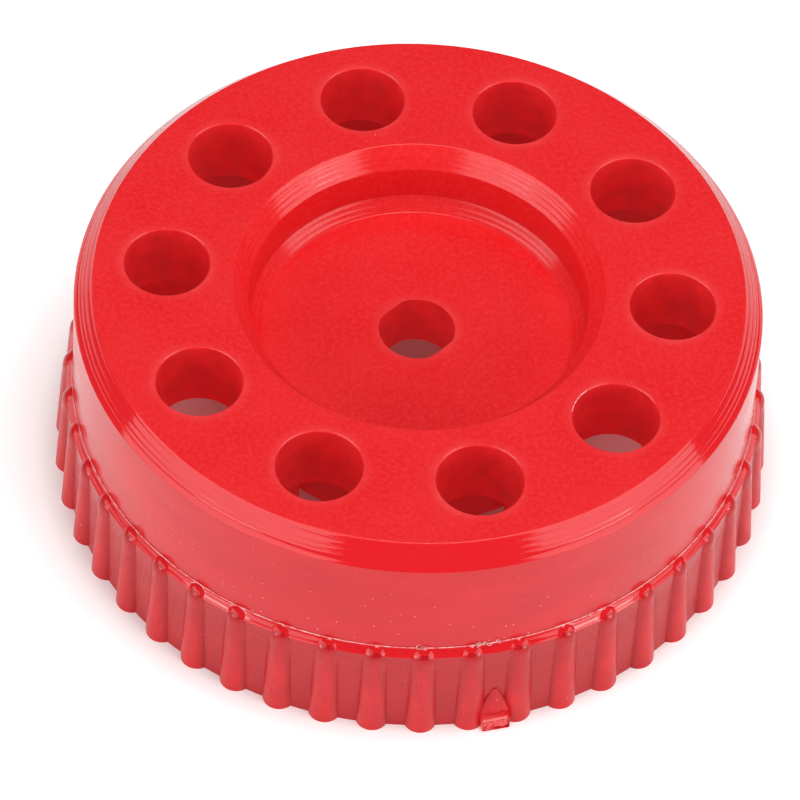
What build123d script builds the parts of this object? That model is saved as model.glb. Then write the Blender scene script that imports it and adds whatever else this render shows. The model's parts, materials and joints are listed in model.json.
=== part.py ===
"""A round cap with ten holes in a ring, moulded in one piece, hollow underneath.

Frame: millimetres, +Z up, origin at the centre of the base rim's plane. One ring hole, one
valley between two grip ribs and the gate stub all lie on the -Y side.
"""

import math
import os

from build123d import *

# Overall
height = 18.9
ring_hole_count = 10
rib_count = 46
front_angle = -90  # the -Y direction, where the gate is

# Top face, its outer chamfer and the smooth drum below it
face_radius = 24.05
drum_radius = 25.45
drum_foot_radius = 25.6  # the drum has about one degree of draft
chamfer_drop = 1.64

# Ledge round the foot of the drum, and the skirt that carries the ribs
ledge_top = height - 10.3
ledge_foot = height - 11.0
ledge_radius = 26.1
skirt_foot_radius = 26.35

# Holes
ring_radius = 18.7
ring_hole_radius = 3.175
centre_hole_radius = 2.84
centre_flat = 2.64  # from the axis to each of the centre hole's two flats
centre_flat_angle = 121

# Recess in the middle of the top face
recess_rim_radius = 13.76
recess_rim_drop = 1.59
recess_wall_top_radius = 12.6
recess_wall_foot_radius = 12.45
recess_wall_foot = height - 4.3
recess_floor_radius = 11.5
recess_floor = height - 5.2

# Hollow underside: the web, the well that backs the recess, and the skirt's inner wall
web_underside = height - 5.9
well_root_radius = 13.93
well_foot_radius = 13.7
well_underside = height - 9.82
collar_foot = height - 11.2  # the well's wall carries on below it as a collar
collar_inner_radius = 11.8
skirt_inner_top_radius = 22.2
skirt_inner_foot_radius = 22.4
well_corner_radius = 0.6
skirt_corner_radius = 0.3
rim_chamfer = 0.3

# Stiffeners: upright plates from the well to the skirt, in every second gap between holes
stiffener_count = 5
stiffener_angle = 0
stiffener_thickness = 1.2
stiffener_foot = height - 12.4
stiffener_bite = 0.3  # how far each plate runs into the walls that it joins

# Grip ribs: round bars with ball tops, which lean out towards the base
rib_radius = 1.22
rib_foot_radius = 25.83  # from the cap's axis to the bar's own axis, at the base
rib_top_radius = 25.25
rib_top = height - 11.65  # height of the ball's centre

# Stub left where the moulding was broken from its gate
gate_width = 2.1
gate_height = 1.35
gate_reach = 27.35
gate_root = skirt_foot_radius - 0.6
gate_top_fall = 0.15

corners = (
    (well_foot_radius, collar_foot, skirt_corner_radius),
    (skirt_inner_top_radius, web_underside, skirt_corner_radius),
    (well_root_radius, web_underside, well_corner_radius),
)


def circle_edge(edges, radius, z):
    """The full circular edge with this radius at this height."""
    rings = edges.filter_by(GeomType.CIRCLE).filter_by_position(Axis.Z, z - 0.01, z + 0.01)
    return [edge for edge in rings if abs(edge.radius - radius) < 0.01]


# One rib, standing at +X: a leaning bar with a ball on top, cut off level with the base
lean = math.atan2(rib_foot_radius - rib_top_radius, rib_top)
rib_length = rib_top / math.cos(lean)
rib_plane = Plane(
    origin=(rib_foot_radius, 0, 0),
    x_dir=(0, 1, 0),
    z_dir=(-math.sin(lean), 0, math.cos(lean)),
)
with BuildPart() as rib:
    with BuildSketch(rib_plane.offset(-rib_radius)):
        Circle(rib_radius)
    extrude(amount=rib_length + rib_radius)
    with Locations((rib_top_radius, 0, rib_top)):
        Sphere(rib_radius)
    split(bisect_by=Plane.XY, keep=Keep.TOP)

# The whole moulding
with BuildPart() as cap:
    with BuildSketch(Plane.XZ):
        with BuildLine():
            Polyline(
                (0, recess_floor),
                (recess_floor_radius, recess_floor),
                (recess_wall_foot_radius, recess_wall_foot),
                (recess_wall_top_radius, height - recess_rim_drop),
                (recess_rim_radius, height),
                (face_radius, height),
                (drum_radius, height - chamfer_drop),
                (drum_foot_radius, ledge_top),
                (ledge_radius, ledge_foot),
                (skirt_foot_radius, 0),
                (skirt_inner_foot_radius + rim_chamfer, 0),
                (skirt_inner_foot_radius, rim_chamfer),
                (skirt_inner_top_radius, web_underside),
                (well_root_radius, web_underside),
                (well_foot_radius, collar_foot),
                (collar_inner_radius, collar_foot),
                (collar_inner_radius, well_underside),
                (0, well_underside),
                close=True,
            )
        make_face()
    revolve(axis=Axis.Z)

    for radius, z, rounding in corners:
        fillet(circle_edge(cap.edges(), radius, z), rounding)

    plate_start = well_root_radius - stiffener_bite
    plate_length = skirt_inner_top_radius + stiffener_bite - plate_start
    plate_height = web_underside + stiffener_bite - stiffener_foot
    with PolarLocations(0, stiffener_count, start_angle=stiffener_angle):
        with Locations((plate_start, 0, stiffener_foot)):
            Box(
                plate_length,
                stiffener_thickness,
                plate_height,
                align=(Align.MIN, Align.CENTER, Align.MIN),
            )

    with Locations((0, 0, height)):
        with PolarLocations(ring_radius, ring_hole_count, start_angle=front_angle):
            Hole(ring_hole_radius)
    with BuildSketch(Plane.XY.offset(well_underside)):
        Circle(centre_hole_radius)
        Rectangle(
            2 * centre_flat,
            2 * centre_hole_radius,
            rotation=centre_flat_angle,
            mode=Mode.INTERSECT,
        )
    extrude(amount=recess_floor - well_underside, mode=Mode.SUBTRACT)

    half_pitch = 180 / rib_count
    with PolarLocations(0, rib_count, start_angle=front_angle + half_pitch):
        add(rib.part)

    with BuildSketch(Plane.YZ):
        with BuildLine():
            Polyline(
                (-gate_root, 0),
                (-gate_reach, 0),
                (-gate_reach, gate_height - gate_top_fall),
                (-gate_root, gate_height),
                close=True,
            )
        make_face()
    extrude(amount=gate_width / 2, both=True)

cap.part.label = "holed_cap"

os.makedirs("parts", exist_ok=True)
export_step(cap.part, "parts/holed_cap.step")
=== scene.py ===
import json
import math
import random

import bpy
from mathutils import Matrix, Vector


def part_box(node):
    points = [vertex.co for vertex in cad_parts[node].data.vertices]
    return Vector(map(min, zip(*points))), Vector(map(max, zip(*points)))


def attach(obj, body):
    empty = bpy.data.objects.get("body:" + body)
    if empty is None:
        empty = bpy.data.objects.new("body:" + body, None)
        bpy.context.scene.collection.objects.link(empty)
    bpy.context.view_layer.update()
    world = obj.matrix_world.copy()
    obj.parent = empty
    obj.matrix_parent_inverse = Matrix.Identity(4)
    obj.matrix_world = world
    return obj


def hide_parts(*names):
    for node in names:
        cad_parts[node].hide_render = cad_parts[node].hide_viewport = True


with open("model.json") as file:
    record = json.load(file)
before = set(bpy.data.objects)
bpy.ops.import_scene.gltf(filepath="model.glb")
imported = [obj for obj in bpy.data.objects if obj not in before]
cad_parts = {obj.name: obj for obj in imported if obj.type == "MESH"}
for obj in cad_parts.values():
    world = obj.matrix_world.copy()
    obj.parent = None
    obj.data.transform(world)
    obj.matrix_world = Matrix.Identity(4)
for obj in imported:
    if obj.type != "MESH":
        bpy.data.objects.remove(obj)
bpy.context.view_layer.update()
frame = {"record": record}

# ---------------------------------------------------------------------------
# Sizes, in metres. What the frame says comes from the frame.
# ---------------------------------------------------------------------------
MM = 0.001
low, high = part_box("holed_cap")
mounts = {m["name"]: m for m in frame["record"]["mounts"]}

HEIGHT = high.z - low.z
RING_COUNT = mounts["ring_holes"]["dims"]["count"]
RING_RADIUS = mounts["ring_holes"]["dims"]["pcd_mm"] / 2 * MM
RING_HOLE = mounts["ring_holes"]["dims"]["hole_r_mm"] * MM
CENTRE_HOLE = mounts["centre_hole"]["dims"]["r_mm"] * MM
RECESS_FLOOR = mounts["recess_floor"]["pos_m"][2]
WELL_UNDERSIDE = RECESS_FLOOR - mounts["centre_hole"]["dims"]["length_mm"] * MM

RIB_COUNT = 46
FRONT = math.radians(-90)
RIB_PITCH = math.tau / RIB_COUNT
HOLE_PITCH = math.tau / RING_COUNT

FACE_RADIUS = 24.05 * MM
DRUM_RADIUS = 25.45 * MM
DRUM_FOOT_RADIUS = 25.6 * MM
CHAMFER_FOOT = HEIGHT - 1.64 * MM
LEDGE_TOP = HEIGHT - 10.3 * MM
LEDGE_FOOT = HEIGHT - 11.0 * MM
LEDGE_RADIUS = 26.1 * MM
SKIRT_RADIUS = 26.35 * MM
FLASH = 0.035 * MM  # how far the flash line stands out of the seam

CENTRE_FLAT = 2.64 * MM
CENTRE_FLAT_ANGLE = math.radians(121)

RECESS_RIM_RADIUS = 13.76 * MM
RECESS_RIM_FOOT = HEIGHT - 1.59 * MM
RECESS_WALL_TOP = 12.6 * MM
RECESS_WALL_FOOT = 12.45 * MM
RECESS_WALL_END = HEIGHT - 4.3 * MM
RECESS_FLOOR_RADIUS = 11.5 * MM

WEB_UNDERSIDE = HEIGHT - 5.9 * MM
WELL_ROOT = 13.93 * MM
WELL_FOOT = 13.7 * MM
COLLAR_FOOT = HEIGHT - 11.2 * MM
COLLAR_INNER = 11.8 * MM
SKIRT_INNER_TOP = 22.2 * MM
SKIRT_INNER_FOOT = 22.4 * MM
RIM_CHAMFER = 0.3 * MM

STIFFENER_COUNT = 5
STIFFENER_THICKNESS = 1.2 * MM
STIFFENER_FOOT = HEIGHT - 12.4 * MM
STIFFENER_BITE = 0.3 * MM

RIB_RADIUS = 1.22 * MM
RIB_FOOT_AXIS = 25.83 * MM
RIB_TOP_AXIS = 25.25 * MM
RIB_TOP = HEIGHT - 11.5 * MM  # centre of the ball top, 0.15 mm higher than in the CAD

GATE_WIDTH = 2.1 * MM
GATE_HEIGHT = 1.35 * MM
GATE_REACH = -low.y
GATE_BITE = 0.6 * MM  # how far the stub runs into the skirt
GATE_FALL = 0.15 * MM  # how far the stub's top falls towards its torn face

FLARE_FOOT = 1.1 * MM
FLARE_RISE = 2.6 * MM
FLARE_SINK = 0.12 * MM  # how far the flare's axis lies inside the skirt's face
FLARE_FOOT_RADIUS = 1.1 * MM
FLARE_TIP_RADIUS = 0.15 * MM

EDGE_ROUND = 0.07 * MM
SKIRT_CORNER = 0.3 * MM
WELL_CORNER = 0.6 * MM
LATHE_STEPS = RIB_COUNT * 8
AXIS_GAP = 0.5 * MM  # the outline stops short of the axis, inside the centre hole
NEARBY = 0.02 * MM  # slack when a face is placed by its centre
CUTTER_EXCESS = 2 * MM  # how much longer than its hole a cutter is, in all

SCORE_HALF_WIDTH = 0.05 * MM
HOLE_FLARE = 0.09 * MM
CORNER_SOFTNESS = 0.05 * MM
HAIR_THICKNESS = 0.06 * MM
SLIVER_THICKNESS = 0.07 * MM
# Where the hairs of flash gather, in degrees round from the gate, and how many there are
HAIR_CLUSTERS = ((-2.6, 7), (-12.1, 5), (0.6, 2), (17.0, 1))


# ---------------------------------------------------------------------------
# Modelling helpers
# ---------------------------------------------------------------------------
def clear_selection():
    bpy.ops.object.select_all(action="DESELECT")


def pick(*objects):
    """Only these objects are selected, and the first is the active one."""
    clear_selection()
    for thing in objects:
        thing.select_set(True)
    bpy.context.view_layer.objects.active = objects[0]


def edit(thing, mode="VERT"):
    pick(thing)
    bpy.ops.object.mode_set(mode="EDIT")
    bpy.ops.mesh.select_mode(type=mode)
    bpy.ops.mesh.select_all(action="SELECT")


def leave_edit():
    bpy.ops.object.mode_set(mode="OBJECT")


def apply_place(thing):
    pick(thing)
    bpy.ops.object.transform_apply(location=True, rotation=True, scale=True)


def turned_copies(thing, count, start):
    """Copies of a piece, each with its own mesh, evenly spaced round the axis and joined."""
    copies = []
    for step in range(count):
        copy = thing.copy()
        copy.data = thing.data.copy()
        bpy.context.collection.objects.link(copy)
        copy.matrix_world = Matrix.Rotation(start + step * math.tau / count, 4, "Z")
        copies.append(copy)
    bpy.data.objects.remove(thing)
    pick(*copies)
    bpy.ops.object.transform_apply(location=True, rotation=True, scale=True)
    bpy.ops.object.join()
    return bpy.context.object


def carve(body, tool, operation):
    """Joins a tool to the body or cuts it away, and removes the tool."""
    pick(body)
    cut = body.modifiers.new("carve", "BOOLEAN")
    cut.operation = operation
    cut.solver = "EXACT"
    cut.object = tool
    bpy.ops.object.modifier_apply(modifier=cut.name)
    bpy.data.objects.remove(tool)


def rounded_outline(corners):
    """A closed outline in the (radius, height) plane. Each corner is (radius, height, rounding)."""
    points = []
    count = len(corners)
    for index, (radius, height, rounding) in enumerate(corners):
        here = Vector((radius, height))
        if not rounding:
            points.append(here)
            continue
        before = Vector(corners[index - 1][:2]) - here
        after = Vector(corners[(index + 1) % count][:2]) - here
        before.normalize()
        after.normalize()
        half = before.angle(after) / 2
        centre = here + (before + after).normalized() * rounding / math.sin(half)
        reach = rounding / math.tan(half)
        first, last = here + before * reach - centre, here + after * reach - centre
        steps = 3 if rounding < SKIRT_CORNER else 6
        for step in range(steps + 1):
            share = step / steps
            points.append(centre + first.lerp(last, share).normalized() * rounding)
    return points


def scored(start, end, lines, depth, seed):
    """Points along a turned surface with fine lines scored in it, to its right-hand side."""
    rng = random.Random(seed)
    along = end - start
    side = Vector((-along.y, along.x)).normalized()
    half = SCORE_HALF_WIDTH / along.length
    points = []
    for line in range(lines):
        share = (line + 0.5 + rng.uniform(-0.3, 0.3)) / lines
        share = 0.06 + 0.88 * share
        deep = depth * rng.uniform(0.5, 1.0)
        points.append(start + along * (share - half))
        points.append(start + along * share - side * deep)
        points.append(start + along * (share + half))
    return points


def lathe(name, outline):
    """Draws the closed outline as a chain of vertices and spins it round the Z axis."""
    bpy.ops.mesh.primitive_plane_add(size=1 * MM)
    body = bpy.context.object
    body.name = name
    edit(body)
    bpy.ops.mesh.merge(type="CENTER")
    bpy.ops.transform.translate(value=(outline[0].x, 0, outline[0].y))
    for here, there in zip(outline, outline[1:]):
        move = (there.x - here.x, 0, there.y - here.y)
        bpy.ops.mesh.extrude_region_move(TRANSFORM_OT_translate={"value": move})
    bpy.ops.mesh.select_all(action="DESELECT")
    leave_edit()
    for vertex in body.data.vertices:
        nearest = min((vertex.co.xz - end).length for end in (outline[0], outline[-1]))
        vertex.select = nearest < 1e-7
    bpy.ops.object.mode_set(mode="EDIT")
    bpy.ops.mesh.edge_face_add()
    bpy.ops.mesh.select_all(action="SELECT")
    bpy.ops.mesh.spin(steps=LATHE_STEPS, angle=math.tau, center=(0, 0, 0), axis=(0, 0, 1))
    bpy.ops.mesh.select_all(action="SELECT")
    bpy.ops.mesh.remove_doubles(threshold=0.0005 * MM)
    bpy.ops.mesh.normals_make_consistent(inside=False)
    leave_edit()
    return body


# ---------------------------------------------------------------------------
# The cap: one moulding
# ---------------------------------------------------------------------------
def cap_outline():
    sharp = EDGE_ROUND
    corners = [
        (AXIS_GAP, RECESS_FLOOR, 0),
        (RECESS_FLOOR_RADIUS, RECESS_FLOOR, sharp),
        (RECESS_WALL_FOOT, RECESS_WALL_END, sharp),
        (RECESS_WALL_TOP, RECESS_RIM_FOOT, sharp),
        (RECESS_RIM_RADIUS, HEIGHT, sharp),
        (FACE_RADIUS, HEIGHT, sharp),
        (DRUM_RADIUS, CHAMFER_FOOT, sharp),
        (DRUM_FOOT_RADIUS, LEDGE_TOP, 0),
        (DRUM_FOOT_RADIUS, LEDGE_TOP - FLASH, 0),
        (DRUM_FOOT_RADIUS + FLASH, LEDGE_TOP + FLASH / 2, 0),
        (DRUM_FOOT_RADIUS + 1.7 * FLASH, LEDGE_TOP - 1.8 * FLASH, 0),
        (LEDGE_RADIUS, LEDGE_FOOT, sharp),
        (SKIRT_RADIUS, 0, 0),
        (SKIRT_INNER_FOOT + RIM_CHAMFER, 0, 0),
        (SKIRT_INNER_FOOT, RIM_CHAMFER, 0),
        (SKIRT_INNER_TOP, WEB_UNDERSIDE, SKIRT_CORNER),
        (WELL_ROOT, WEB_UNDERSIDE, WELL_CORNER),
        (WELL_FOOT, COLLAR_FOOT, SKIRT_CORNER),
        (COLLAR_INNER, COLLAR_FOOT, SKIRT_CORNER),
        (COLLAR_INNER, WELL_UNDERSIDE, SKIRT_CORNER),
        (AXIS_GAP, WELL_UNDERSIDE, 0),
    ]
    plain = rounded_outline(corners)
    # Outer radius of each scored slope: its inner radius, number of lines, their depth, seed
    scoring = {
        RECESS_WALL_FOOT: (RECESS_FLOOR_RADIUS, 3, 0.012 * MM, 3),
        RECESS_RIM_RADIUS: (RECESS_WALL_TOP, 4, 0.012 * MM, 5),
        DRUM_RADIUS: (FACE_RADIUS, 4, 0.018 * MM, 7),
        LEDGE_RADIUS: (DRUM_FOOT_RADIUS + 1.7 * FLASH, 2, 0.014 * MM, 11),
    }
    points = []
    for here, there in zip(plain, plain[1:] + plain[:1]):
        points.append(here)
        for end_radius, (start_radius, lines, depth, seed) in scoring.items():
            run = abs(there.x - here.x)
            level = abs(there.y - here.y)
            inside = here.x > start_radius - sharp and there.x < end_radius + sharp
            if inside and run > 0.5 * (end_radius - start_radius) and level > 0.3 * MM:
                points += scored(here, there, lines, depth, seed)
    return points


def ring_cutters():
    """One round cutter with a flared mouth that breaks the hole's edge, copied ten times."""
    top = HEIGHT - HOLE_FLARE
    depth = top - WEB_UNDERSIDE + CUTTER_EXCESS
    bpy.ops.mesh.primitive_cylinder_add(
        vertices=80, radius=RING_HOLE, depth=depth, location=(RING_RADIUS, 0, top - depth / 2)
    )
    cutter = bpy.context.object
    apply_place(cutter)
    edit(cutter, "FACE")
    bpy.ops.mesh.select_all(action="DESELECT")
    leave_edit()
    for face in cutter.data.polygons:
        face.select = face.normal.z > 0.9
    bpy.ops.object.mode_set(mode="EDIT")
    rise = 5 * HOLE_FLARE
    grow = (RING_HOLE + rise) / RING_HOLE
    bpy.ops.mesh.extrude_region_move(TRANSFORM_OT_translate={"value": (0, 0, rise)})
    bpy.ops.transform.resize(
        value=(grow, grow, 1), center_override=(RING_RADIUS, 0, HEIGHT)
    )
    leave_edit()
    return turned_copies(cutter, RING_COUNT, FRONT)


def centre_cutter():
    """A round cutter pressed flat on two sides, with the corners between them softened."""
    depth = RECESS_FLOOR - WELL_UNDERSIDE + CUTTER_EXCESS
    middle = (RECESS_FLOOR + WELL_UNDERSIDE) / 2
    bpy.ops.mesh.primitive_cylinder_add(
        vertices=96, radius=CENTRE_HOLE, depth=depth, location=(0, 0, middle)
    )
    cutter = bpy.context.object
    apply_place(cutter)
    for vertex in cutter.data.vertices:
        turn = math.atan2(vertex.co.y, vertex.co.x) - CENTRE_FLAT_ANGLE
        to_flat = CENTRE_FLAT / max(abs(math.cos(turn)), 0.5)
        blend = 1 + math.exp((CENTRE_HOLE - to_flat) / CORNER_SOFTNESS)
        reach = CENTRE_HOLE - CORNER_SOFTNESS * math.log(blend)
        vertex.co.x *= reach / CENTRE_HOLE
        vertex.co.y *= reach / CENTRE_HOLE
    return cutter


def ribs():
    """One grip rib, a leaning round bar with a ball top, copied round the skirt."""
    bpy.ops.mesh.primitive_uv_sphere_add(
        segments=32, ring_count=16, radius=RIB_RADIUS, location=(RIB_TOP_AXIS, 0, RIB_TOP)
    )
    rib = bpy.context.object
    apply_place(rib)
    edit(rib)
    bpy.ops.mesh.bisect(
        plane_co=(0, 0, RIB_TOP), plane_no=(0, 0, 1), clear_inner=True
    )
    lean = (RIB_FOOT_AXIS - RIB_TOP_AXIS, 0, -RIB_TOP)
    bpy.ops.mesh.extrude_region_move(TRANSFORM_OT_translate={"value": lean})
    bpy.ops.mesh.edge_face_add()
    bpy.ops.mesh.select_all(action="SELECT")
    bpy.ops.mesh.normals_make_consistent(inside=False)
    leave_edit()
    return turned_copies(rib, RIB_COUNT, FRONT + RIB_PITCH / 2)


def stiffeners():
    """Upright plates under the web, from the well to the skirt."""
    start = WELL_ROOT - STIFFENER_BITE
    end = SKIRT_INNER_TOP + STIFFENER_BITE
    top = WEB_UNDERSIDE + STIFFENER_BITE
    middle = ((start + end) / 2, 0, (STIFFENER_FOOT + top) / 2)
    bpy.ops.mesh.primitive_cube_add(size=1, location=middle)
    plate = bpy.context.object
    plate.scale = (end - start, STIFFENER_THICKNESS, top - STIFFENER_FOOT)
    apply_place(plate)
    edit(plate, "EDGE")
    bpy.ops.mesh.bevel(offset=0.15 * MM, segments=2, affect="EDGES")
    leave_edit()
    return turned_copies(plate, STIFFENER_COUNT, 0)


def gate_flare():
    """The swelling that runs up the valley from the gate stub, narrower as it climbs."""
    bpy.ops.mesh.primitive_cone_add(
        vertices=64, radius1=FLARE_FOOT_RADIUS, radius2=FLARE_TIP_RADIUS, depth=FLARE_RISE,
        location=(0, -(SKIRT_RADIUS - FLARE_SINK), FLARE_FOOT + FLARE_RISE / 2),
    )
    flare = bpy.context.object
    flare.scale = (1.3, 0.62, 1)
    apply_place(flare)
    return flare


def gate_stub():
    """The stub left by the gate: smooth on top, torn and ragged on its front face."""
    depth = GATE_REACH - SKIRT_RADIUS + GATE_BITE
    middle = (0, -GATE_REACH + depth / 2, GATE_HEIGHT / 2)
    bpy.ops.mesh.primitive_cube_add(size=1, location=middle)
    stub = bpy.context.object
    stub.scale = (GATE_WIDTH, depth, GATE_HEIGHT)
    apply_place(stub)
    edit(stub, "EDGE")
    bpy.ops.mesh.bevel(offset=0.12 * MM, segments=3, affect="EDGES")
    leave_edit()
    edit(stub, "FACE")
    bpy.ops.mesh.select_all(action="DESELECT")
    leave_edit()
    for face in stub.data.polygons:
        face.select = face.center.y < -GATE_REACH + 0.1 * MM
    bpy.ops.object.mode_set(mode="EDIT")
    bpy.ops.mesh.subdivide(number_cuts=11)
    leave_edit()
    rng = random.Random(21)
    torn = [v for v in stub.data.vertices if v.co.y < -GATE_REACH + NEARBY]
    for vertex in torn:
        ridge = math.sin(vertex.co.z / (0.16 * MM) + 2.2 * math.sin(vertex.co.x / (0.3 * MM)))
        vertex.co.y += (0.13 + 0.07 * ridge + rng.uniform(-0.05, 0.06)) * MM
        vertex.co.z += rng.uniform(-0.025, 0.025) * MM
    for vertex in stub.data.vertices:
        if vertex.co.z > 0.8 * GATE_HEIGHT:
            out = (-vertex.co.y - SKIRT_RADIUS) / (GATE_REACH - SKIRT_RADIUS)
            vertex.co.z -= GATE_FALL * max(out, 0)
            vertex.co.z += 0.04 * MM * math.sin(vertex.co.x / (0.33 * MM))
    return stub


def curl(place, radius, thickness, start, sweep, lean):
    """A loose hair of flash: part of a thin ring, tipped over."""
    bpy.ops.mesh.primitive_torus_add(
        major_radius=radius, minor_radius=thickness / 2, major_segments=40, minor_segments=6
    )
    hair = bpy.context.object
    edit(hair)
    for turn, sign in ((start, 1), (start + sweep, -1)):
        bpy.ops.mesh.select_all(action="SELECT")
        side = Vector((-math.sin(turn), math.cos(turn), 0)) * sign
        bpy.ops.mesh.bisect(plane_co=(0, 0, 0), plane_no=side, use_fill=True, clear_inner=True)
    leave_edit()
    hair.rotation_euler = (math.radians(lean), math.radians(lean / 2), 0)
    hair.location = place
    apply_place(hair)
    return hair


def on_seam(angle, out=0, up=0):
    """A point by the seam at the drum's foot, the angle in degrees round from the gate."""
    turn = FRONT + math.radians(angle)
    reach = DRUM_FOOT_RADIUS + out
    return Vector((math.cos(turn) * reach, math.sin(turn) * reach, LEDGE_TOP + up))


def loose_hairs():
    """Curls of flash by the seam, near the gate, and a sliver at the rim of one ring hole."""
    rng = random.Random(33)
    hairs = []
    for middle, count in HAIR_CLUSTERS:
        for _ in range(count):
            place = on_seam(
                middle + rng.gauss(0, 0.55), rng.uniform(0.03, 0.16) * MM, rng.uniform(0, 0.2) * MM
            )
            size = rng.uniform(0.08, 0.2) * MM
            start, sweep = rng.uniform(0, 5), rng.uniform(1.8, 4.6)
            hairs.append(curl(place, size, HAIR_THICKNESS, start, sweep, rng.uniform(35, 80)))
    turn = FRONT + HOLE_PITCH
    level = HEIGHT - 0.036 * MM  # so that the sliver's top is level with the face
    hole = Vector((math.cos(turn) * RING_RADIUS, math.sin(turn) * RING_RADIUS, level))
    start, sweep = math.radians(118), math.radians(40)
    sliver = curl(hole, RING_HOLE + 0.04 * MM, SLIVER_THICKNESS, start, sweep, 0)
    hairs.append(sliver)
    pick(*hairs)
    bpy.ops.object.join()
    hair = bpy.context.object
    hair.name = "flash_hairs"
    return hair


def make_cap():
    body = lathe("moulded_cap", cap_outline())
    carve(body, ring_cutters(), "DIFFERENCE")
    carve(body, centre_cutter(), "DIFFERENCE")
    carve(body, stiffeners(), "UNION")
    carve(body, ribs(), "UNION")
    carve(body, gate_flare(), "UNION")
    carve(body, gate_stub(), "UNION")
    pick(body)
    bpy.ops.object.shade_smooth_by_angle(angle=math.radians(30))
    weigh = body.modifiers.new("weigh", "WEIGHTED_NORMAL")
    weigh.keep_sharp = True
    bpy.ops.object.modifier_apply(modifier=weigh.name)
    return body


# ---------------------------------------------------------------------------
# Materials
# ---------------------------------------------------------------------------
def linear(code):
    """An sRGB hex colour as linear red, green, blue, alpha."""
    values = [int(code[i : i + 2], 16) / 255 for i in (1, 3, 5)]
    return [
        v / 12.92 if v <= 0.04045 else ((v + 0.055) / 1.055) ** 2.4 for v in values
    ] + [1]


def add_node(tree, kind, settings=None, inputs=None):
    """Adds a node, sets it up and links or fills its inputs."""
    node = tree.nodes.new(kind)
    for name, value in (settings or {}).items():
        setattr(node, name, value)
    for name, value in (inputs or {}).items():
        if isinstance(value, bpy.types.NodeSocket):
            tree.links.new(value, node.inputs[name])
        else:
            node.inputs[name].default_value = value
    return node


RED = "#E61D22"
WARM_RED = "#E9262A"
WALL_SHADE_RED = "#D6161F"
DEEP_RED = "#C80F19"
SKIRT_SHADED_RED = "#D3171F"
SKIRT_DEEP_SHADED_RED = "#BE0F18"
VALLEY_SHADE_RED = "#A80C16"
PALE_RED = "#F0474A"
SEEPING_RED = "#F23034"
FLASH_RED = "#E8565A"
FLASH_WHITE = "#F8CFCC"
CHALKY_PINK = "#F3A7A4"
DARK_SPECK = "#7A1015"
PAPER_WHITE = "#FAFAFA"
PAPER_RED_BOUNCE_AND_SHADE = "#DE868A"
LIGHT_WHITE = "#FFFFFF"

PLASTIC_IOR = 1.49
DULLED_IOR = 1.42  # the walls look a little less shiny than clean plastic


def moulded_red(name, roughness, scatter=0.12, glow=0.0):
    """Self-coloured polypropylene: a hard gloss, and red light that bleeds a little way in. Glow
    stands for the light that seeps through a thin wall to its shaded side."""
    material = bpy.data.materials.new(name)
    material.use_nodes = True
    tree = material.node_tree
    shader = tree.nodes["Principled BSDF"]
    shader.inputs["Base Color"].default_value = linear(RED)
    shader.inputs["Roughness"].default_value = roughness
    shader.inputs["IOR"].default_value = PLASTIC_IOR
    shader.inputs["Subsurface Weight"].default_value = scatter
    shader.inputs["Subsurface Radius"].default_value = (1.0, 0.12, 0.1)
    shader.inputs["Subsurface Scale"].default_value = 1.2 * MM
    shader.inputs["Emission Color"].default_value = linear(SEEPING_RED)
    shader.inputs["Emission Strength"].default_value = glow
    return material, tree, shader


def maths(tree, operation, first, second=0.0):
    node = add_node(tree, "ShaderNodeMath", {"operation": operation}, {0: first, 1: second})
    return node.outputs["Value"]


def noise(tree, coords, size, detail=3.0, roughness=0.5):
    """Cloudy noise whose blotches are about this size, in metres."""
    node = add_node(
        tree, "ShaderNodeTexNoise", None,
        {"Vector": coords, "Scale": 1 / size, "Detail": detail, "Roughness": roughness},
    )
    return node.outputs["Fac"]


def ramp(tree, value, low, high, start=0.0, end=1.0):
    """Value from low to high, as start to end, held at both ends."""
    node = add_node(
        tree, "ShaderNodeMapRange", {"clamp": True},
        {"Value": value, "From Min": low, "From Max": high, "To Min": start, "To Max": end},
    )
    return node.outputs["Result"]


def tint(tree, share, first, second):
    """Mixes two colours, each a hex code or a socket."""
    node = add_node(tree, "ShaderNodeMix", {"data_type": "RGBA"})
    for index, value in ((6, first), (7, second)):
        if isinstance(value, str):
            node.inputs[index].default_value = linear(value)
        else:
            tree.links.new(value, node.inputs[index])
    tree.links.new(share, node.inputs[0])
    return node.outputs[2]


def bump(tree, height, depth, under=None):
    """Raises the surface by up to this depth, in metres, over any bump under it."""
    inputs = {"Height": height, "Distance": depth, "Strength": 1.0}
    if under is not None:
        inputs["Normal"] = under
    return add_node(tree, "ShaderNodeBump", None, inputs).outputs["Normal"]


def object_place(tree):
    return add_node(tree, "ShaderNodeTexCoord").outputs["Object"]


def specks(tree, coords, size, spacing, share):
    """Scattered dots of this size, one at most in each patch of this spacing."""
    cells = add_node(
        tree, "ShaderNodeTexVoronoi", {"feature": "F1"},
        {"Vector": coords, "Scale": 1 / spacing, "Randomness": 1.0},
    )
    dot = ramp(tree, cells.outputs["Distance"], 0.5 * size / spacing, 0.3 * size / spacing)
    split = add_node(tree, "ShaderNodeSeparateColor", None, {"Color": cells.outputs["Color"]})
    chosen = maths(tree, "LESS_THAN", split.outputs["Red"], share)
    return maths(tree, "MULTIPLY", dot, chosen)


def axis_distance(tree, coords):
    """Distance from the cap's axis, and the coordinates taken apart."""
    parts = add_node(tree, "ShaderNodeSeparateXYZ", None, {"Vector": coords})
    flat = add_node(
        tree, "ShaderNodeCombineXYZ", None, {"X": parts.outputs["X"], "Y": parts.outputs["Y"]}
    )
    length = add_node(
        tree, "ShaderNodeVectorMath", {"operation": "LENGTH"}, {0: flat.outputs["Vector"]}
    )
    return length.outputs["Value"], parts


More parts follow.
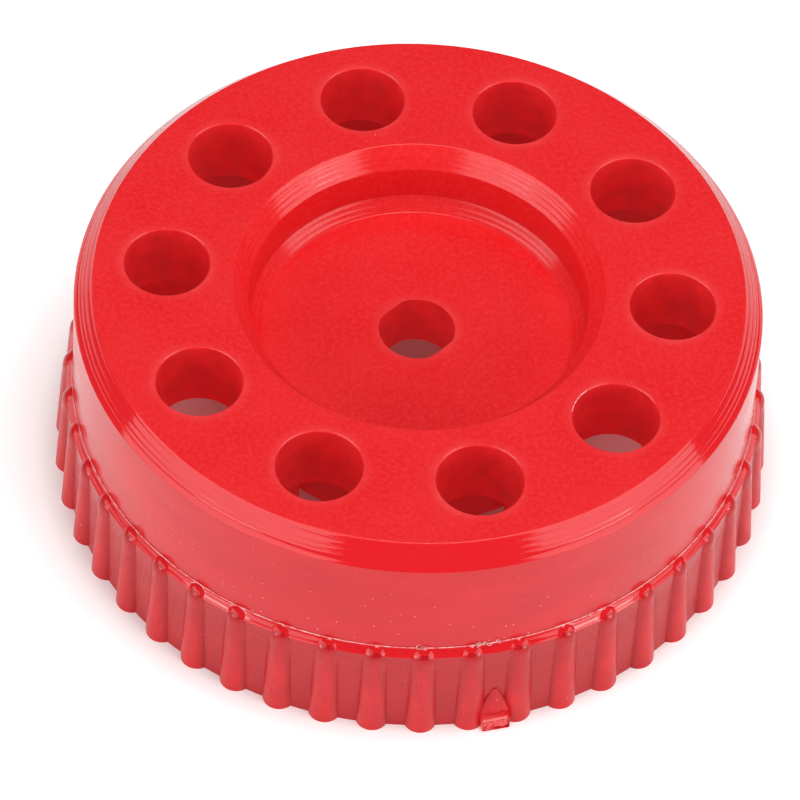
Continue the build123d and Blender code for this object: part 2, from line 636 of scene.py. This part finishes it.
def hole_distance(tree, reach, parts):
    """Distance from the axis of the nearest ring hole."""
    turn = maths(tree, "ARCTAN2", parts.outputs["X"], parts.outputs["Y"])
    fold = maths(tree, "PINGPONG", turn, HOLE_PITCH / 2)
    across = maths(tree, "MULTIPLY", reach, maths(tree, "SINE", fold))
    along = maths(tree, "MULTIPLY", reach, maths(tree, "COSINE", fold))
    along = maths(tree, "SUBTRACT", along, RING_RADIUS)
    square = maths(tree, "ADD", maths(tree, "POWER", along, 2.0), maths(tree, "POWER", across, 2.0))
    return maths(tree, "SQRT", square)


def turning_marks(tree, reach, spacing, wander):
    """Fine rings left by the lathe that cut the mould, uneven in depth."""
    drift = maths(tree, "MULTIPLY", wander, spacing * 2)
    phase = maths(tree, "DIVIDE", maths(tree, "ADD", reach, drift), spacing / math.tau)
    return maths(tree, "SINE", phase)


def turned_polypropylene():
    """Flat and bevelled faces: glossy, with the mould's faint turning rings, and a paler halo round
    each hole that is a painted sheen."""
    material, tree, shader = moulded_red("turned_red_polypropylene", 0.2)
    coords = object_place(tree)
    reach, parts = axis_distance(tree, coords)
    clouds = noise(tree, coords, 5 * MM, 4.0, 0.6)
    grain = noise(tree, coords, 0.35 * MM, 2.0)
    near_hole = maths(tree, "MINIMUM", hole_distance(tree, reach, parts),
                      maths(tree, "ADD", reach, RING_HOLE - CENTRE_HOLE))
    # Painted sheen: a paler ring round each hole stands in for the glossy reflection off the slight
    # dish there.
    halo = ramp(tree, near_hole, RING_HOLE + 0.75 * MM, RING_HOLE + 0.1 * MM, 0.0, 0.5)
    halo = maths(tree, "MULTIPLY", halo, ramp(tree, clouds, 0.35, 0.7, 0.35, 1.0))
    body = tint(tree, ramp(tree, clouds, 0.3, 0.72), RED, WARM_RED)
    body = tint(tree, ramp(tree, grain, 0.42, 0.8, 0.0, 0.35), body, PALE_RED)
    body = tint(tree, halo, body, PALE_RED)
    dust = specks(tree, coords, 0.16 * MM, 1.6 * MM, 0.12)
    body = tint(tree, maths(tree, "MULTIPLY", dust, 0.6), body, CHALKY_PINK)
    # Painted shade: faces past the flat top, the outer chamfer and the ledge, are tinted towards
    # the darker wall red.
    bevelled = ramp(tree, reach, FACE_RADIUS, FACE_RADIUS + 0.1 * MM)
    body = tint(tree, maths(tree, "MULTIPLY", bevelled, 0.85), body, WALL_SHADE_RED)
    tree.links.new(body, shader.inputs["Base Color"])
    dull = maths(tree, "ADD", maths(tree, "MULTIPLY", clouds, 0.6), halo)
    rough = ramp(tree, dull, 0.15, 0.9, 0.14, 0.34)
    rough = maths(tree, "MULTIPLY", rough, ramp(tree, bevelled, 0.0, 1.0, 1.0, 0.45))
    tree.links.new(rough, shader.inputs["Roughness"])
    rings = turning_marks(tree, reach, 0.33 * MM, clouds)
    rings = maths(tree, "MULTIPLY", rings, ramp(tree, noise(tree, coords, 9 * MM), 0.4, 0.7))
    shape = bump(tree, rings, 0.0008 * MM)
    shape = bump(tree, grain, 0.0025 * MM, shape)
    tree.links.new(bump(tree, clouds, 0.02 * MM, shape), shader.inputs["Normal"])
    return material


def polished_polypropylene():
    """The drum's wall: the smoothest face, so it mirrors the floor, with soft ripples and
    specks of dust and swarf that gather low on the gate's side."""
    material, tree, shader = moulded_red("polished_red_polypropylene", 0.12)
    coords = object_place(tree)
    parts = add_node(tree, "ShaderNodeSeparateXYZ", None, {"Vector": coords})
    flattened = add_node(
        tree, "ShaderNodeMapping", {"vector_type": "POINT"},
        {"Vector": coords, "Scale": (1.0, 1.0, 2.6)},
    ).outputs["Vector"]
    clouds = noise(tree, flattened, 8 * MM, 2.0, 0.45)
    grain = noise(tree, coords, 0.3 * MM, 2.0)
    shader.inputs["IOR"].default_value = DULLED_IOR
    # Painted shade: the drum's wall takes darker copies of the cap's red, because the upright wall
    # gets less light than the top.
    body = tint(tree, ramp(tree, clouds, 0.3, 0.7), DEEP_RED, WALL_SHADE_RED)
    lower = ramp(tree, parts.outputs["Z"], CHAMFER_FOOT, LEDGE_TOP, 0.1, 1.0)
    front = ramp(tree, parts.outputs["Y"], 0.0, -20 * MM, 0.15, 1.0)
    spread = maths(tree, "MULTIPLY", lower, front)
    dust = specks(tree, coords, 0.15 * MM, 0.6 * MM, 0.42)
    dust = maths(tree, "MULTIPLY", dust, spread)
    body = tint(tree, maths(tree, "MULTIPLY", dust, 0.9), body, CHALKY_PINK)
    dark = specks(tree, coords, 0.14 * MM, 2.3 * MM, 0.12)
    body = tint(tree, maths(tree, "MULTIPLY", dark, 0.7), body, DARK_SPECK)
    tree.links.new(body, shader.inputs["Base Color"])
    dull = maths(tree, "ADD", clouds, maths(tree, "MULTIPLY", grain, 0.4))
    rough = ramp(tree, dull, 0.4, 1.0, 0.1, 0.26)
    tree.links.new(rough, shader.inputs["Roughness"])
    shape = bump(tree, clouds, 0.05 * MM)
    tree.links.new(bump(tree, grain, 0.002 * MM, shape), shader.inputs["Normal"])
    return material


def satin_polypropylene():
    """Skirt and ribs: duller than the drum, with faint upright draw marks from the mould."""
    material, tree, shader = moulded_red("satin_red_polypropylene", 0.36)
    coords = object_place(tree)
    stretched = add_node(
        tree, "ShaderNodeMapping", {"vector_type": "POINT"},
        {"Vector": coords, "Scale": (1.0, 1.0, 0.06)},
    ).outputs["Vector"]
    draw = noise(tree, stretched, 0.22 * MM, 3.0, 0.6)
    clouds = noise(tree, coords, 2.5 * MM, 3.0)
    grain = noise(tree, coords, 0.12 * MM, 2.0)
    shader.inputs["IOR"].default_value = DULLED_IOR
    # Painted shade: the skirt and ribs take darker copies of the cap's red, because upright faces
    # get less light than the top.
    body = tint(tree, ramp(tree, clouds, 0.3, 0.72), SKIRT_DEEP_SHADED_RED, SKIRT_SHADED_RED)
    body = tint(tree, ramp(tree, grain, 0.5, 0.85, 0.0, 0.35), body, PALE_RED)
    reach, parts = axis_distance(tree, coords)
    # Painted shade: the valleys between the ribs are tinted darker, where light is trapped between
    # them.
    valley = ramp(tree, reach, SKIRT_RADIUS + 0.05 * MM, SKIRT_RADIUS + 0.35 * MM, 0.6, 0.0)
    body = tint(tree, valley, body, VALLEY_SHADE_RED)
    dust = specks(tree, coords, 0.15 * MM, 1.1 * MM, 0.12)
    body = tint(tree, maths(tree, "MULTIPLY", dust, 0.55), body, CHALKY_PINK)
    tree.links.new(body, shader.inputs["Base Color"])
    gloss = ramp(tree, parts.outputs["Z"], RIB_TOP - 1.2 * MM, RIB_TOP + 0.5 * MM, 1.0, 0.45)
    rough = maths(tree, "MULTIPLY", ramp(tree, draw, 0.3, 0.75, 0.27, 0.44), gloss)
    tree.links.new(rough, shader.inputs["Roughness"])
    shape = bump(tree, draw, 0.004 * MM)
    tree.links.new(bump(tree, grain, 0.004 * MM, shape), shader.inputs["Normal"])
    return material


def bored_polypropylene():
    """Hole walls: an even satin, left by core pins."""
    # The glow is painted light: the hole walls give off red light of their own, standing in for
    # light that seeps through the plastic into the shaded holes.
    material, tree, shader = moulded_red("cored_red_polypropylene", 0.5, glow=0.17)
    coords = object_place(tree)
    clouds = noise(tree, coords, 1.6 * MM, 3.0)
    body = tint(tree, ramp(tree, clouds, 0.3, 0.7), DEEP_RED, RED)
    tree.links.new(body, shader.inputs["Base Color"])
    tree.links.new(ramp(tree, clouds, 0.3, 0.7, 0.42, 0.58), shader.inputs["Roughness"])
    tree.links.new(bump(tree, noise(tree, coords, 0.2 * MM), 0.003 * MM), shader.inputs["Normal"])
    return material


def inner_polypropylene():
    """The hollow underside: plain moulded satin with a faint flow pattern."""
    # The glow is painted light: the underside gives off red light of their own, standing in for
    # light that seeps through the plastic into the shaded hollow.
    material, tree, shader = moulded_red("moulded_red_polypropylene", 0.42, glow=0.11)
    coords = object_place(tree)
    flow = noise(tree, coords, 4 * MM, 4.0, 0.6)
    body = tint(tree, ramp(tree, flow, 0.3, 0.7), DEEP_RED, RED)
    tree.links.new(body, shader.inputs["Base Color"])
    tree.links.new(ramp(tree, flow, 0.3, 0.7, 0.34, 0.5), shader.inputs["Roughness"])
    tree.links.new(bump(tree, noise(tree, coords, 0.25 * MM), 0.006 * MM), shader.inputs["Normal"])
    return material


def torn_polypropylene():
    """The broken gate: matt, and whitened in streaks where the plastic stretched."""
    material, tree, shader = moulded_red("torn_red_polypropylene", 0.5)
    coords = object_place(tree)
    streaks = noise(tree, coords, 0.16 * MM, 5.0, 0.7)
    body = tint(tree, ramp(tree, streaks, 0.48, 0.66, 0.0, 0.8), RED, CHALKY_PINK)
    tree.links.new(body, shader.inputs["Base Color"])
    tree.links.new(ramp(tree, streaks, 0.3, 0.7, 0.3, 0.7), shader.inputs["Roughness"])
    tree.links.new(bump(tree, streaks, 0.04 * MM), shader.inputs["Normal"])
    return material


def flash_polypropylene():
    """Hair-thin flash: so thin that it looks pale."""
    material, tree, shader = moulded_red("thin_pale_polypropylene", 0.3, 0.0)
    coords = object_place(tree)
    patches = noise(tree, coords, 0.4 * MM, 2.0)
    body = tint(tree, ramp(tree, patches, 0.35, 0.7), FLASH_RED, FLASH_WHITE)
    tree.links.new(body, shader.inputs["Base Color"])
    tree.links.new(ramp(tree, patches, 0.3, 0.7, 0.2, 0.45), shader.inputs["Roughness"])
    return material


FINISHES = [
    inner_polypropylene,
    turned_polypropylene,
    polished_polypropylene,
    satin_polypropylene,
    bored_polypropylene,
    torn_polypropylene,
    flash_polypropylene,
]


def finish_of(place, normal):
    """Which finish a face of the moulding has, by where it is."""
    reach = place.xy.length
    upright = abs(normal.z) < 0.3
    near_gate = abs(place.x) < GATE_WIDTH / 2 + NEARBY and place.z < 1.02 * GATE_HEIGHT
    if near_gate and place.y < -(SKIRT_RADIUS + 0.3 * MM):
        return torn_polypropylene if normal.y < -0.5 or normal.z < 0.4 else turned_polypropylene
    if reach > SKIRT_INNER_FOOT + RIM_CHAMFER and place.z > NEARBY:
        if abs(place.z - LEDGE_TOP) < 2 * FLASH and reach < DRUM_FOOT_RADIUS + 2 * FLASH:
            above_crest = reach > DRUM_FOOT_RADIUS + 0.3 * FLASH
            return flash_polypropylene if above_crest else polished_polypropylene
        if place.z > LEDGE_TOP:
            return polished_polypropylene if upright else turned_polypropylene
        on_ledge = place.z > LEDGE_FOOT - EDGE_ROUND and reach < LEDGE_RADIUS + NEARBY
        return turned_polypropylene if on_ledge else satin_polypropylene
    if place.z > WEB_UNDERSIDE - NEARBY:
        in_ring = upright and RECESS_RIM_RADIUS < reach < SKIRT_INNER_TOP
        if not in_ring and place.z > RECESS_FLOOR - NEARBY:
            return turned_polypropylene
    in_centre_hole = reach < CENTRE_HOLE + NEARBY
    in_ring_hole = WELL_ROOT < reach < SKIRT_INNER_TOP - 0.1 * MM
    if upright and (in_centre_hole or in_ring_hole):
        return bored_polypropylene
    return inner_polypropylene


cap = make_cap()
hairs = loose_hairs()
for make_finish in FINISHES:
    cap.data.materials.append(make_finish())
for face in cap.data.polygons:
    face.material_index = FINISHES.index(finish_of(face.center, face.normal))
hairs.data.materials.append(bpy.data.materials["thin_pale_polypropylene"])

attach(cap, "root")
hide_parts("holed_cap")
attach(hairs, "root")


# ---------------------------------------------------------------------------
# Floor, camera and lights
# ---------------------------------------------------------------------------
def polar(azimuth, elevation):
    """Unit vector from the object, azimuth 0 towards -Y and growing towards +X."""
    a, e = math.radians(azimuth), math.radians(elevation)
    return Vector((math.sin(a) * math.cos(e), -math.cos(a) * math.cos(e), math.sin(e)))


CAMERA_AZIMUTH = -15.84
CAMERA_ELEVATION = 50.96
CAMERA_ROLL = math.radians(3.32)
CAMERA_DISTANCE = 382.3 * MM
CAMERA_LENS = 238
AIM = Vector((-0.0509, -0.5937, 0)) * RING_RADIUS
AIM.rotate(Matrix.Rotation(math.radians(CAMERA_AZIMUTH), 3, "Z"))
AIM.z = HEIGHT


def make_camera():
    camera = bpy.data.objects.new("camera", bpy.data.cameras.new("camera"))
    bpy.context.collection.objects.link(camera)
    back = polar(CAMERA_AZIMUTH, CAMERA_ELEVATION)
    right = Vector((0, 0, 1)).cross(back).normalized()
    up = back.cross(right)
    tilted = right * math.cos(CAMERA_ROLL) + up * math.sin(CAMERA_ROLL)
    upright = up * math.cos(CAMERA_ROLL) - right * math.sin(CAMERA_ROLL)
    turn = Matrix((tilted, upright, back)).transposed().to_4x4()
    camera.matrix_world = Matrix.Translation(AIM + back * CAMERA_DISTANCE) @ turn
    camera.data.lens = CAMERA_LENS
    camera.data.sensor_width = 36
    camera.data.clip_start = 0.01
    bpy.context.scene.camera = camera


def softbox(name, turn, elevation, width, height, power):
    """An area light facing the cap. Its direction is seen from the cap."""
    light = bpy.data.objects.new(name, bpy.data.lights.new(name, "AREA"))
    bpy.context.collection.objects.link(light)
    out = polar(CAMERA_AZIMUTH + turn, elevation)
    right = Vector((0, 0, 1)).cross(out).normalized()
    up = out.cross(right)
    facing = Matrix((right, up, out)).transposed().to_4x4()
    light.matrix_world = Matrix.Translation(out * LIGHT_DISTANCE) @ facing
    light.data.shape = "RECTANGLE"
    light.data.size = width
    light.data.size_y = height
    light.data.energy = power


# Name, azimuth from the camera, elevation, width, height (metres) and power (watts)
LIGHTS = (
    ("softbox_left", -55, 24, 0.74, 0.32, 1.6),
    ("softbox_right", 64, 22, 0.56, 0.32, 1.25),
    ("lamp_left", -50, 6, 0.2, 0.07, 0.45),
    ("lamp_right", 55, 6, 0.2, 0.07, 0.45),
    ("softbox_above", 80, 84, 0.34, 0.34, 2.5),
)
LIGHT_DISTANCE = 0.6
FLOOR_SIZE = 3


def make_studio():
    bpy.ops.mesh.primitive_plane_add(size=FLOOR_SIZE, location=(0, 0, 0))
    floor = bpy.context.object
    floor.name = "floor"
    paper = bpy.data.materials.new("white_paper")
    paper.use_nodes = True
    shader = paper.node_tree.nodes["Principled BSDF"]
    shader.inputs["Roughness"].default_value = 0.9
    tree = paper.node_tree
    reach, _ = axis_distance(tree, object_place(tree))
    # Painted light and shade: the white paper under the cap is tinted pink, for red light bounced
    # off the plastic into the shade there.
    shaded = ramp(tree, reach, SKIRT_INNER_TOP, SKIRT_RADIUS)
    tree.links.new(tint(tree, shaded, PAPER_RED_BOUNCE_AND_SHADE, PAPER_WHITE), shader.inputs["Base Color"])
    # Painted light: the paper itself glows, faintly under and next to the cap and more strongly
    # beyond it, so the floor reads white while shade stays close to the cap.
    floor_glow = ramp(tree, reach, 26.6 * MM, 28.6 * MM, 0.04, 0.2)
    tree.links.new(floor_glow, shader.inputs["Emission Strength"])
    shader.inputs["Emission Color"].default_value = linear(LIGHT_WHITE)
    floor.data.materials.append(paper)
    for light in LIGHTS:
        softbox(*light)
    world = bpy.data.worlds.new("studio")
    world.use_nodes = True
    world.node_tree.nodes["Background"].inputs["Color"].default_value = linear(LIGHT_WHITE)
    world.node_tree.nodes["Background"].inputs["Strength"].default_value = 0.15
    bpy.context.scene.world = world
    bpy.context.scene.view_settings.view_transform = "Standard"


clear_selection()
make_camera()
make_studio()
